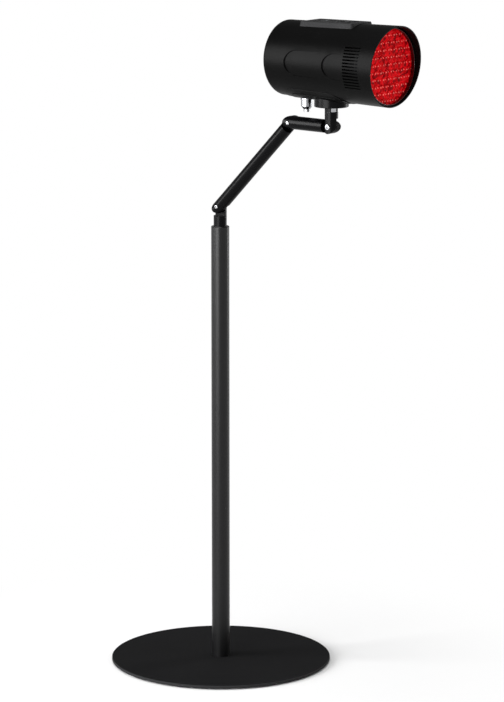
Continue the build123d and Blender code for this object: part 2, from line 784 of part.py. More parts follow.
def gland_dome_nut():
    x = rear_x + gland_offset
    top = head_z - shell_radius(x) - gland_flange_height
    nut = rod(gland_nut_diameter, gland_nut_height, (x, 0, top), DOWN)
    tail_top = top - gland_nut_height - gland_nut_taper
    nut += Pos(x, 0, tail_top) * Cone(
        gland_tail_diameter / 2, gland_nut_diameter / 2, gland_nut_taper, align=BOTTOM)
    nut += rod(gland_tail_diameter, gland_tail_length, (x, 0, tail_top), DOWN)
    nut -= rod(gland_thread_diameter + 2 * screw_fit, gland_nut_height, (x, 0, top), DOWN)
    return nut - rod(gland_bore_diameter, 4 * gland_nut_height, (x, 0, top), DOWN)


def gland_locknut():
    bore = gland_thread_diameter + 2 * screw_fit
    x = rear_x + gland_offset
    return hex_nut(gland_locknut_flats, bore, gland_locknut_height, (x, 0, gland_face), UP)


# ---- lens, diodes and cooling ----
def cell_places(radius):
    """Hexagonal grid of diode places with rows across the head."""
    row_pitch = lens_cell_pitch * math.sqrt(3) / 2
    rows = int(radius / row_pitch)
    places = []
    for row in range(-rows, rows + 1):
        shift = lens_cell_pitch / 2 * (row % 2)
        count = int(radius / lens_cell_pitch) + 1
        for step in range(-count, count + 1):
            y = step * lens_cell_pitch + shift
            z = row * row_pitch
            if math.hypot(y, z) <= radius:
                places.append((y, head_z + z))
    return places


lens_radius = shell_radius(lens_x) - rim_wall - 2 * seat_fit


def lens_plate():
    """Clear plate with one low six-sided pyramid over every diode."""
    plate = head_disc(lens_radius, lens_x - lens_thickness, lens_thickness)
    outline = RegularPolygon(lens_cell_across / 2, 6, major_radius=False, rotation=30)
    cell = extrude(outline, lens_cell_height, taper=lens_cell_draft)
    cells = [Plane(origin=(lens_x, y, z), x_dir=LEFT, z_dir=FORWARD) * cell
             for y, z in cell_places(lens_radius - lens_cell_margin)]
    return plate + cells


def lens_ring():
    """Thin spring ring in the rebate that keeps the lens on its seat."""
    outer = 2 * lens_radius
    return ring(outer, outer - 2 * lens_ring_width, lens_ring_length, (lens_x, 0, head_z), FORWARD)


def lens_spacer():
    outer = 2 * (shell_radius(led_x) - shell_wall - seat_fit)
    length = lens_spacer_length
    return ring(outer, outer - 2 * lens_spacer_wall, length, (led_x, 0, head_z), FORWARD)


board_radius = shell_radius(sink_x) - shell_wall - 2 * seat_fit


def led_board():
    return head_disc(board_radius, sink_x, led_board_thickness)


def led_array():
    """Diode packages on the board, each a square body with a domed top."""
    body = Box(led_size, led_size, led_body_height, align=BOTTOM)
    dome = Pos(0, 0, led_body_height) * Cone(
        led_dome_radius, led_dome_tip_radius, led_dome_height, align=BOTTOM)
    package = body + dome
    return [Plane(origin=(led_x, y, z), x_dir=LEFT, z_dir=FORWARD) * package
            for y, z in cell_places(lens_radius - lens_cell_margin)]


def fan_screw_places():
    half = fan_hole_spacing / 2
    return [(y, head_z + z) for y in (-half, half) for z in (-half, half)]


def heat_sink():
    """Round plate on the shell's ledge with upright fins and four posts for the fan."""
    body = head_disc(board_radius, ledge_x, sink_base_thickness)
    fins = []
    count = int(sink_fin_radius / sink_fin_pitch)
    for index in range(-count, count + 1):
        y = index * sink_fin_pitch
        half = math.sqrt(sink_fin_radius ** 2 - (abs(y) + sink_fin_thickness / 2) ** 2)
        fins.append(Pos(ledge_x, y, head_z) * Box(
            sink_fin_length, sink_fin_thickness, 2 * half,
            align=(Align.MAX, Align.CENTER, Align.CENTER)))
    for y, z in fan_screw_places():
        fins.append(rod(sink_post_diameter, sink_fin_length, (ledge_x, y, z), BACKWARD))
    body = body + fins
    holes = [rod(small_screw_diameter + 2 * screw_fit, sink_fin_length, (fan_x, y, z), FORWARD)
             for y, z in fan_screw_places()]
    return body - holes


def fan_frame():
    """Square fan housing with a motor plate on four spokes at the rear."""
    frame = Box(fan_size, fan_size, fan_depth, align=BOTTOM)
    frame = fillet(frame.edges().filter_by(Axis.Z), fan_corner)
    frame -= Cylinder(fan_bore_diameter / 2, fan_depth, align=BOTTOM)
    plate = Cylinder(fan_hub_diameter / 2, fan_spoke_depth, align=BOTTOM)
    spoke = Box(fan_bore_diameter + fan_joint, fan_spoke_width, fan_spoke_depth, align=BOTTOM)
    for angle in (0, 90):
        plate += Rot(0, 0, angle) * spoke
    frame += plate
    frame -= Cylinder(fan_shaft_diameter / 2 + running_fit, fan_depth, align=BOTTOM)
    half = fan_hole_spacing / 2
    for y in (-half, half):
        for z in (-half, half):
            hole = Cylinder(small_screw_diameter / 2 + seat_fit, fan_depth, align=BOTTOM)
            frame -= Pos(y, z, 0) * hole
    return Plane(origin=(fan_x - fan_depth, 0, head_z), x_dir=LEFT, z_dir=FORWARD) * frame


def fan_rotor():
    """Hub, blades and shaft; the shaft turns in the frame's motor plate."""
    rest = fan_spoke_depth + running_gap
    depth = fan_depth - rest - fan_front_gap
    hub = Pos(0, 0, rest) * Cylinder(fan_hub_diameter / 2, depth, align=BOTTOM)
    tip = fan_bore_diameter / 2 - fan_tip_gap
    envelope = Pos(0, 0, rest) * Cylinder(tip, depth, align=BOTTOM)
    blades = []
    for index in range(fan_blade_count):
        turn = 360 * index / fan_blade_count
        blade = Pos(tip / 2, 0, rest + depth / 2) * (
            Rot(fan_blade_angle, 0, 0) * Box(tip, fan_blade_thickness, 3 * depth))
        blades.append(Rot(0, 0, turn) * blade)
    rotor = hub + [blade & envelope for blade in blades]
    rotor += Cylinder(fan_shaft_diameter / 2, rest + fan_joint, align=BOTTOM)
    return Plane(origin=(fan_x - fan_depth, 0, head_z), x_dir=LEFT, z_dir=FORWARD) * rotor


def fan_screws():
    seat = fan_x - fan_depth
    return [small_screw((seat, y, z), FORWARD, long_screw_length) for y, z in fan_screw_places()]


# ---- driver electronics on four posts of the shell ----
def driver_screw_places():
    near = rear_x + driver_start + driver_hole_margin
    far = rear_x + driver_start + driver_length - driver_hole_margin
    side = driver_width / 2 - driver_hole_margin
    return [(x, y) for x in (near, far) for y in (-side, side)]


board_top = head_z - driver_drop
board_bottom = board_top - driver_thickness


def driver_board():
    middle = rear_x + driver_start + driver_length / 2
    board = Pos(middle, 0, board_bottom) * Box(driver_length, driver_width, driver_thickness, align=BOTTOM)
    holes = [rod(small_screw_diameter + 2 * seat_fit, driver_thickness, (x, y, board_bottom), UP)
             for x, y in driver_screw_places()]
    return board - holes


def driver_screws():
    return [small_screw((x, y, board_top), DOWN) for x, y in driver_screw_places()]


def driver_transformer():
    x = rear_x + driver_start + transformer_place
    core = Pos(x, 0, board_top) * Box(
        transformer_length, transformer_width, transformer_height, align=BOTTOM)
    coil_width = transformer_width + 2 * coil_overhang
    return core + rod(coil_diameter, coil_width, (x, -coil_width / 2, board_top + coil_height), LEFT)


def driver_capacitors():
    x = rear_x + driver_start + capacitor_place
    return [rod(capacitor_diameter, capacitor_height, (x, y, board_top), UP)
            for y in (-capacitor_spacing / 2, capacitor_spacing / 2)]


def driver_terminal():
    x = rear_x + driver_start + terminal_depth / 2 + terminal_margin
    block = Pos(x, 0, board_top) * Box(terminal_depth, terminal_width, terminal_height, align=BOTTOM)
    for index in (-1, 0, 1):
        y = index * terminal_pitch
        block -= rod(terminal_hole_diameter, terminal_hole_depth, (x, y, board_top + terminal_height), DOWN)
    return block


# ---- control box: in its own frame the crown line is X and +Z is away from the head ----
crown_z = head_z + shell_radius(box_middle_x)
crown_frame = Pos(box_middle_x, 0, crown_z) * Rot(0, -taper_angle, 0)
box_underside = box_rise - box_top_wall
skirt_bottom = box_underside - button_skirt_height


def crown_hollow(bottom, top):
    length = box_length - 2 * crown_opening_margin
    width = 2 * (box_half_width - crown_opening_margin)
    return Pos(0, 0, bottom) * Box(length, width, top - bottom, align=BOTTOM)


def box_screw_places():
    reach = (box_length - crown_opening_margin) / 2
    return [-reach, reach]


def button_places():
    return (
        ("power_button", power_button_place, power_button_diameter),
        ("timer_button", timer_button_place, small_button_diameter),
        ("mode_button", mode_button_place, small_button_diameter),
    )


def pillar_places():
    x = box_length / 2 - crown_opening_margin - pillar_diameter / 2 - control_board_play
    y = box_half_width - crown_opening_margin - pillar_diameter / 2 - control_board_play
    return [(sx * x, sy * y) for sx in (-1, 1) for sy in (-1, 1)]


def control_box():
    """Low console saddled on the crown, open below over the shell's opening."""
    outline = RectangleRounded(box_length, 2 * box_half_width, box_corner)
    body = Plane(origin=(0, 0, box_rise), x_dir=FORWARD, z_dir=DOWN) * extrude(
        outline, box_rise + box_skirt, taper=-box_draft)
    top_edges = body.faces().sort_by(Axis.Z)[-1].edges()
    body = chamfer(top_edges, box_edge)
    body -= crown_hollow(-2 * box_skirt, box_underside)
    body = crown_frame * body - head_cone(rear_x, front_x)
    pillar_drop = box_underside + control_board_drop
    for x, y in pillar_places():
        pillar = rod(pillar_diameter, pillar_drop, (x, y, box_underside), DOWN)
        body += crown_frame * pillar
        body -= crown_frame * rod(
            small_screw_diameter + 2 * screw_fit, small_screw_length, (x, y, -control_board_drop), UP)
    for name, place, diameter in button_places():
        hole = diameter + 2 * button_fit
        body -= crown_frame * rod(hole, 2 * box_top_wall, (place[0], place[1], box_rise), DOWN)
    rebate = Box(window_length + 2 * seat_fit, window_width + 2 * seat_fit, window_thickness,
                 align=TOP)
    through = Box(window_length - 2 * window_lip, window_width - 2 * window_lip, 4 * box_top_wall)
    body -= crown_frame * (Pos(window_middle, 0, box_rise) * (rebate + through))
    spigot_height = box_spigot_depth + box_rise / 2
    hole_depth = box_spigot_depth + box_rise - box_screw_roof
    for x in box_screw_places():
        foot = (x, 0, -box_spigot_depth)
        body += crown_frame * rod(box_spigot_diameter, spigot_height, foot, UP)
        body -= crown_frame * rod(small_screw_diameter + 2 * screw_fit, hole_depth, foot, UP)
    return body


def button(place, diameter):
    """Round cap with a wider skirt under the console's top."""
    x, y = place
    top = box_rise + button_proud
    cap = rod(diameter, top - box_underside, (x, y, box_underside), UP)
    rim = cap.edges().filter_by(GeomType.CIRCLE).sort_by(Axis.Z)[-1]
    cap = fillet(rim, button_edge)
    skirt = diameter + 2 * button_skirt_margin
    cap += rod(skirt, button_skirt_height, (x, y, skirt_bottom), UP)
    dish_radius = diameter * button_dish_ratio
    dish = Pos(x, y, top + dish_radius - button_dish) * Sphere(dish_radius)
    return crown_frame * (cap - dish)


def display_window():
    plate = Box(window_length, window_width, window_thickness,
                align=TOP)
    return crown_frame * (Pos(window_middle, 0, box_rise) * plate)


def display_module():
    height = control_board_drop + box_underside - running_gap
    length = window_length - 2 * display_inset
    width = window_width - 2 * display_inset
    block = Box(length, width, height, align=BOTTOM)
    return crown_frame * (Pos(window_middle, 0, -control_board_drop) * block)


def control_board():
    length = box_length - 2 * crown_opening_margin - 2 * control_board_play
    width = 2 * (box_half_width - crown_opening_margin - control_board_play)
    board = Pos(0, 0, -control_board_drop) * Box(
        length, width, control_board_thickness, align=TOP)
    for x, y in pillar_places():
        hole = small_screw_diameter + 2 * seat_fit
        board -= rod(hole, control_board_thickness, (x, y, -control_board_drop), DOWN)
    return crown_frame * board


def control_board_screws():
    seat = -control_board_drop - control_board_thickness
    return [crown_frame * small_screw((x, y, seat), UP) for x, y in pillar_places()]


def tactile_switches():
    """One square switch under each button, its plunger just short of the pressed button."""
    plunger_top = skirt_bottom - button_travel - switch_gap
    switches = []
    for name, place, diameter in button_places():
        x, y = place
        body = Pos(x, y, -control_board_drop) * Box(switch_size, switch_size, switch_height, align=BOTTOM)
        start = switch_height - control_board_drop
        body += rod(switch_plunger_diameter, plunger_top - start, (x, y, start), UP)
        switches.append(crown_frame * body)
    return switches


def box_screws():
    """From inside the shell up into the console's two ends."""
    screws = []
    for x in box_screw_places():
        seat = -shell_wall - seat_fit
        screws.append(crown_frame * small_screw((x, 0, seat), UP, box_screw_length))
    return screws


# ---- every piece, in place ----
def in_place(pin, angle, shape):
    """Moves a joint-frame shape to its pin, its bar raised by an angle above +X."""
    return Pos(pin) * (Rot(0, -angle, 0) * shape)


def collect():
    arm = lower_arm_angle
    pieces = {
        "base_plate": base_plate(),
        "base_pad": base_pad(),
        "foot_plug": foot_plug(),
        "foot_screw": foot_screw(),
        "pole_tube": pole_tube(),
        "pole_bush": pole_bush(),
        "swivel_washer": swivel_washer(),
        "swivel_stub": swivel_stub(),
        "swivel_retainer": swivel_retainer(),
        "swivel_screw": swivel_screw(),
        "shoulder_bolt": in_place(shoulder_pin, arm, pivot_bolt(pin_head_diameter)),
        "shoulder_nut": in_place(shoulder_pin, arm, pivot_nut()),
        "shoulder_washer": in_place(shoulder_pin, arm, pivot_washer()),
        "lower_arm_tube": in_place(shoulder_pin, arm, link_tube(lower_arm_length)),
        "lower_arm_bottom_knuckle": in_place(shoulder_pin, arm, knuckle(-1)),
        "lower_arm_top_knuckle": in_place(elbow_pin, arm + 180, knuckle(1)),
        "elbow_bolt": in_place(elbow_pin, 0, pivot_bolt(pin_head_diameter)),
        "elbow_nut": in_place(elbow_pin, arm, pivot_nut()),
        "elbow_washer": in_place(elbow_pin, 0, pivot_washer()),
        "upper_link_tube": in_place(elbow_pin, 0, link_tube(upper_link_length)),
        "upper_link_rear_knuckle": in_place(elbow_pin, 0, knuckle(-1)),
        "upper_link_front_knuckle": in_place(wrist_pin, 180, knuckle(1)),
        "wrist_bolt": in_place(wrist_pin, 0, wrist_bolt()),
        "wrist_nut": in_place(wrist_pin, 0, pivot_nut()),
        "wrist_washer": in_place(wrist_pin, 0, pivot_washer()),
        "head_post": head_post(),
        "pan_bolt": pan_bolt(),
        "pan_nut": pan_nut(),
        "pan_washer": pan_washer(),
        "mount_disc": mount_disc(),
        "mount_screws": mount_screws(),
        "belly_plate": belly_plate(),
        "housing": housing(),
        "rear_cap": rear_cap(),
        "long_screws": cap_screws() + fan_screws(),
        "gland_body": gland_body(),
        "gland_dome_nut": gland_dome_nut(),
        "gland_locknut": gland_locknut(),
        "lens_plate": lens_plate(),
        "lens_ring": lens_ring(),
        "lens_spacer": lens_spacer(),
        "led_board": led_board(),
        "led_array": led_array(),
        "heat_sink": heat_sink(),
        "fan_frame": fan_frame(),
        "fan_rotor": fan_rotor(),
        "driver_board": driver_board(),
        "board_screws": driver_screws() + control_board_screws(),
        "driver_transformer": driver_transformer(),
        "driver_capacitors": driver_capacitors(),
        "driver_terminal": driver_terminal(),
        "control_box": control_box(),
        "box_screws": box_screws(),
        "display_window": display_window(),
        "display_module": display_module(),
        "control_board": control_board(),
        "tactile_switches": tactile_switches(),
    }
    return pieces


def flat(shape):
    if isinstance(shape, list):
        return Compound(children=[item for item in shape])
    return shape


os.makedirs("parts", exist_ok=True)
for name, shape in collect().items():
    export_step(flat(shape), "parts/" + name + ".step")
for name, place, diameter in button_places():
    export_step(button(place, diameter), "parts/" + name + ".step")
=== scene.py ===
import json
import math

import bmesh
import bpy
from mathutils import Matrix, Vector

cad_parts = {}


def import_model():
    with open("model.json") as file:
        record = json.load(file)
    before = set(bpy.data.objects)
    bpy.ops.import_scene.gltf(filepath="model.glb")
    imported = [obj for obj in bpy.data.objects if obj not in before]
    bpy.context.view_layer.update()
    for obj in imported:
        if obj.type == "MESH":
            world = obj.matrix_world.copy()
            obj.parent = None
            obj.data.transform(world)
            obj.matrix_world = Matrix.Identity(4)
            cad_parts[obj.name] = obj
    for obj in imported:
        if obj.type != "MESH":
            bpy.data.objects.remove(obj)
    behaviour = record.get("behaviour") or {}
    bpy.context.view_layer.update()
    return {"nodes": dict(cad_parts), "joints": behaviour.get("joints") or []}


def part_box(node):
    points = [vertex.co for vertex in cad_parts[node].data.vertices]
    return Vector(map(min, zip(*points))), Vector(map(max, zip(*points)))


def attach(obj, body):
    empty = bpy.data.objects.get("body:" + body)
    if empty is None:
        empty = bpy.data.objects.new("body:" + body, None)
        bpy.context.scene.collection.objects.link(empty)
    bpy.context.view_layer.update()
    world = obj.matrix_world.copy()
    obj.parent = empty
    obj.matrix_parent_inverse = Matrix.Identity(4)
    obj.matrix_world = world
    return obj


# A floor-standing infrared therapy lamp: powder-coated stand and arms, a satin charcoal head and a
# moulded red lens over rows of diodes. Everything is in metres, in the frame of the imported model.

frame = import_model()

# ---- measures ----
MM = 0.001
CELL_PITCH = 11.0 * MM          # across the six-sided cells of the lens
ROW_PITCH = CELL_PITCH * math.sqrt(3) / 2
CELL_HEIGHT = 1.4 * MM
FACET = 3.4 * MM                # cut facets inside a cell
# The next three lengths place and size the painted highlight, a catch-light, on each lens cell.
PAINTED_GLINT_RISE = 2.2 * MM           # from a cell's middle up to its catch-light
PAINTED_GLINT_CORE = 0.2 * MM
PAINTED_GLINT_RIM = 1.5 * MM
EDGE_TURN = 0.75 * MM           # turned edge of the base plate
RING_WIDTH = 1.0 * MM           # spring ring round the lens
SKIRT_LENGTH = 5.5 * MM
SKIRT_WALL = 1.0 * MM
SKIRT_EDGE = 0.25 * MM
FREE_GAP = 0.05 * MM
MARK_THICKNESS = 0.1 * MM
KEY_MARGIN = 2.4 * MM           # flat rim round the dish of a key, both sides
DISH_DEPTH = 0.3 * MM
DISH_RATIO = 1.25               # dish radius over the key's diameter
FIGURE_HEIGHT = 8.0 * MM
FIGURE_WIDTH = 4.2 * MM
FIGURE_SHIFT = 3.4 * MM         # from the window's middle to each figure's
STROKE = 0.9 * MM

lens_low, lens_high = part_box("lens_plate")
plate_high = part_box("base_plate")[1]
head_axis_z = (lens_low.z + lens_high.z) / 2
lens_radius = (lens_high.z - lens_low.z) / 2
press = next(joint for joint in frame["joints"] if joint["name"] == "power_press")
crown_up = -Vector(press["axis"])
crown_forward = Vector((crown_up.z, 0, -crown_up.x))


# ---- materials ----
def linear(code):
    """Hex sRGB to a linear colour with alpha 1."""
    parts = [int(code[i:i + 2], 16) / 255 for i in (1, 3, 5)]
    return [c / 12.92 if c <= 0.04045 else ((c + 0.055) / 1.055) ** 2.4 for c in parts] + [1.0]


def add(tree, kind, inputs=None, stops=(), **settings):
    """Adds a node. Inputs are links or fixed values by socket; settings are attributes, or fixed
    values under the socket's name; stops fill a colour ramp."""
    node = tree.nodes.new(kind)
    for key, value in settings.items():
        if hasattr(node, key):
            setattr(node, key, value)
        else:
            node.inputs[key.replace("_", " ")].default_value = value
    for socket, source in (inputs or {}).items():
        if isinstance(source, bpy.types.NodeSocket):
            tree.links.new(source, node.inputs[socket])
        else:
            node.inputs[socket].default_value = source
    for index, (position, colour) in enumerate(stops):
        elements = node.color_ramp.elements
        element = elements[index] if index < len(elements) else elements.new(position)
        element.position = position
        element.color = colour
    return node


def begin(name):
    """A new material and its tree, with Object coordinates ready."""
    material = bpy.data.materials.new(name)
    material.use_nodes = True
    tree = material.node_tree
    tree.nodes.clear()
    place = add(tree, "ShaderNodeTexCoord")
    return material, tree, place.outputs["Object"]


def close(tree, shader):
    """Ends a tree in its output."""
    add(tree, "ShaderNodeOutputMaterial", {"Surface": shader.outputs[0]})


def powder_coat(name, colour, lighter, grain_mm, roughness, bump_mm, specular, painted_highlight_from=None):
    """Sprayed and baked polyester powder: even and satin, with the soft dimples of orange peel.
    Past the given radius, on the turned edge, the colour is painted paler as a highlight."""
    material, tree, place = begin(name)
    peel = add(tree, "ShaderNodeTexNoise", {"Vector": place}, Scale=1 / (grain_mm * MM), Detail=2.0)
    drift = add(tree, "ShaderNodeTexNoise", {"Vector": place}, Scale=9.0, Detail=3.0)
    tone = add(tree, "ShaderNodeValToRGB", {"Fac": drift.outputs["Fac"]}, stops=[
        (0.35, linear(colour)), (0.7, linear(lighter))])
    shade = tone.outputs["Color"]
    if painted_highlight_from:
        level = add(tree, "ShaderNodeMapping", {"Vector": place}, Scale=(1, 1, 0))
        reach = add(tree, "ShaderNodeVectorMath", {0: level.outputs["Vector"]}, operation="LENGTH")
        on_highlight_edge = add(
            tree, "ShaderNodeMath", {0: reach.outputs["Value"], 1: painted_highlight_from}, operation="GREATER_THAN")
        # Painted highlight: past that radius the colour is painted paler than the plate's top.
        painted_edge_highlight = add(
            tree, "ShaderNodeMix", {"Factor": on_highlight_edge.outputs[0], 6: shade, 7: linear("#2c2c2d")},
            data_type="RGBA")
        shade = painted_edge_highlight.outputs[2]
    gloss = add(
        tree, "ShaderNodeMapRange", {"Value": peel.outputs["Fac"]},
        From_Min=0.3, From_Max=0.7, To_Min=roughness - 0.03, To_Max=roughness + 0.04)
    bump = add(
        tree, "ShaderNodeBump", {"Height": peel.outputs["Fac"]}, Strength=0.2, Distance=bump_mm * MM)
    shader = add(
        tree, "ShaderNodeBsdfPrincipled",
        {"Base Color": shade, "Roughness": gloss.outputs["Result"], "Normal": bump.outputs["Normal"]},
        IOR=1.5, Specular_IOR_Level=specular)
    close(tree, shader)
    return material


def moulded_plastic(name, colour, lighter, grain_mm, roughness, bump_mm, ior=1.49, specular=0.3):
    """Injection-moulded polymer: matt, with the fine spark-eroded grain of its tool."""
    material, tree, place = begin(name)
    grain = add(tree, "ShaderNodeTexVoronoi", {"Vector": place}, Scale=1 / (grain_mm * MM))
    drift = add(tree, "ShaderNodeTexNoise", {"Vector": place}, Scale=25.0, Detail=2.0)
    tone = add(tree, "ShaderNodeValToRGB", {"Fac": drift.outputs["Fac"]}, stops=[
        (0.3, linear(colour)), (0.75, linear(lighter))])
    gloss = add(
        tree, "ShaderNodeMapRange", {"Value": grain.outputs["Distance"]},
        To_Min=roughness, To_Max=min(1.0, roughness + 0.08))
    bump = add(
        tree, "ShaderNodeBump", {"Height": grain.outputs["Distance"]}, Strength=0.3, Distance=bump_mm * MM)
    shader = add(
        tree, "ShaderNodeBsdfPrincipled",
        {"Base Color": tone.outputs["Color"], "Roughness": gloss.outputs["Result"],
         "Normal": bump.outputs["Normal"]},
        IOR=ior, Specular_IOR_Level=specular)
    close(tree, shader)
    return material


def bright_metal(name, colour, darker, roughness, streak_mm, bump_mm, stretch=(1, 1, 1)):
    """Bare or plated metal: mirror-like, with faint turning or drawing marks along one way."""
    material, tree, place = begin(name)
    drawn = add(tree, "ShaderNodeMapping", {"Vector": place}, Scale=stretch)
    marks = add(
        tree, "ShaderNodeTexNoise", {"Vector": drawn.outputs["Vector"]},
        Scale=1 / (streak_mm * MM), Detail=4.0)
    tone = add(tree, "ShaderNodeValToRGB", {"Fac": marks.outputs["Fac"]}, stops=[
        (0.35, linear(darker)), (0.65, linear(colour))])
    gloss = add(
        tree, "ShaderNodeMapRange", {"Value": marks.outputs["Fac"]},
        To_Min=max(0.02, roughness - 0.05), To_Max=roughness + 0.06)
    bump = add(
        tree, "ShaderNodeBump", {"Height": marks.outputs["Fac"]}, Strength=0.15, Distance=bump_mm * MM)
    shader = add(
        tree, "ShaderNodeBsdfPrincipled",
        {"Base Color": tone.outputs["Color"], "Roughness": gloss.outputs["Result"],
         "Normal": bump.outputs["Normal"]},
        Metallic=1.0)
    close(tree, shader)
    return material


# Fine-textured polyester powder, sprayed and baked: a dead-matt plate that hides finger marks. Its turned
# edge is painted paler, a painted highlight.
base_coat = powder_coat(
    "base_textured_powder", "#131314", "#161617",
    grain_mm=1.2, roughness=0.9, bump_mm=0.05, specular=0.06, painted_highlight_from=plate_high.x - EDGE_TURN)
# Smooth satin powder on drawn steel tube: one soft light band down its length.
pole_coat = powder_coat(
    "pole_satin_powder", "#0c0c0d", "#0f0f10", grain_mm=1.0, roughness=0.3, bump_mm=0.02, specular=0.28)
# Glossier black powder on the arm: a narrow light band and dark flanks.
arm_coat = powder_coat(
    "arm_gloss_powder", "#040405", "#060607",
    grain_mm=1.6, roughness=0.27, bump_mm=0.012, specular=0.075)
# Satin powder on a spun aluminium drum: broad dim bands along its length.
shell_coat = powder_coat(
    "shell_satin_powder", "#060606", "#090909",
    grain_mm=0.8, roughness=0.37, bump_mm=0.015, specular=0.034)
# Charcoal ABS, spark-eroded: lighter and flatter than the drum it sits on.
console_plastic = moulded_plastic(
    "console_abs", "#242425", "#2a2a2b", grain_mm=0.7, roughness=0.55, bump_mm=0.03, specular=0.1)
# Cast silicone keys: soft, dull and a little darker than the console.
button_silicone = moulded_plastic(
    "button_silicone", "#232324", "#29292a",
    grain_mm=0.6, roughness=0.6, bump_mm=0.02, ior=1.41, specular=0.2)
# Machined nylon: dull black with a waxy skin.
nylon_black = moulded_plastic(
    "nylon_washer", "#101011", "#161617",
    grain_mm=0.5, roughness=0.45, bump_mm=0.02, ior=1.53, specular=0.2)
# Closed-cell EVA foam: open-pored dull black.
foam_black = moulded_plastic(
    "eva_foam_pad", "#1a1a1a", "#232323",
    grain_mm=0.8, roughness=0.9, bump_mm=0.2, ior=1.48, specular=0.1)
# Glass-filled PBT of the fan and spacer.
fan_plastic = moulded_plastic(
    "fan_pbt", "#0e0e0f", "#141415", grain_mm=0.6, roughness=0.5, bump_mm=0.02, ior=1.55, specular=0.2)
# Moulded epoxy and sleeve film of the electronic parts.
component_plastic = moulded_plastic(
    "component_epoxy", "#131314", "#1b1b1c", grain_mm=0.4, roughness=0.4, bump_mm=0.02, ior=1.55)
# Green polyamide of the screw terminal.
terminal_plastic = moulded_plastic(
    "terminal_polyamide", "#1f6e3a", "#237a41", grain_mm=0.5, roughness=0.45, bump_mm=0.02, ior=1.53)
# Solder mask on fibreglass boards: green over the driver, white under the diodes.
board_lacquer = moulded_plastic(
    "board_solder_mask", "#0f4a2a", "#145733", grain_mm=0.5, roughness=0.35, bump_mm=0.01, ior=1.55)
white_board = moulded_plastic(
    "board_white_mask", "#c8c8c2", "#d4d4ce", grain_mm=0.5, roughness=0.4, bump_mm=0.01, ior=1.5)
# Sintered ferrite and varnished windings.
ferrite = moulded_plastic(
    "transformer_ferrite", "#262423", "#302d2b", grain_mm=0.5, roughness=0.6, bump_mm=0.05, ior=1.6)
# Smoked acrylic window: near black and glossy.
smoked_acrylic = moulded_plastic(
    "smoked_acrylic", "#040405", "#060607",
    grain_mm=3.0, roughness=0.42, bump_mm=0.001, ior=1.49, specular=0.05)
# Bright nickel and chromium plate on turned brass or steel.
chrome = bright_metal("chrome_plate", "#bfc0c2", "#96979a", roughness=0.12, streak_mm=1.2, bump_mm=0.01)
# Satin chrome on the gland's turned brass: a shade greyer and softer than the polished heads.
satin_chrome = bright_metal(
    "satin_chrome_plate", "#a0a1a3", "#77787b", roughness=0.16, streak_mm=1.2, bump_mm=0.01)
# Dull zinc plate of ordinary screws and nuts.
zinc = bright_metal(
    "zinc_plated_steel", "#b4b5b6", "#9b9c9d", roughness=0.32, streak_mm=0.6, bump_mm=0.01)
# Black-oxide spring steel and long screws.
black_oxide = bright_metal(
    "black_oxide_steel", "#262627", "#1c1c1d", roughness=0.4, streak_mm=0.5, bump_mm=0.01)
# Turned mild steel with rings round the pole's axis.
turned_steel = bright_metal(
    "turned_steel", "#9c9c9e", "#87878a",
    roughness=0.28, streak_mm=0.4, bump_mm=0.01, stretch=(1, 1, 12))
# Extruded aluminium, black anodised: drawn lines along the head.
sink_metal = bright_metal(
    "black_anodised_aluminium", "#0c0c0d", "#080809",
    roughness=0.5, streak_mm=0.5, bump_mm=0.01, stretch=(0.1, 1, 1))


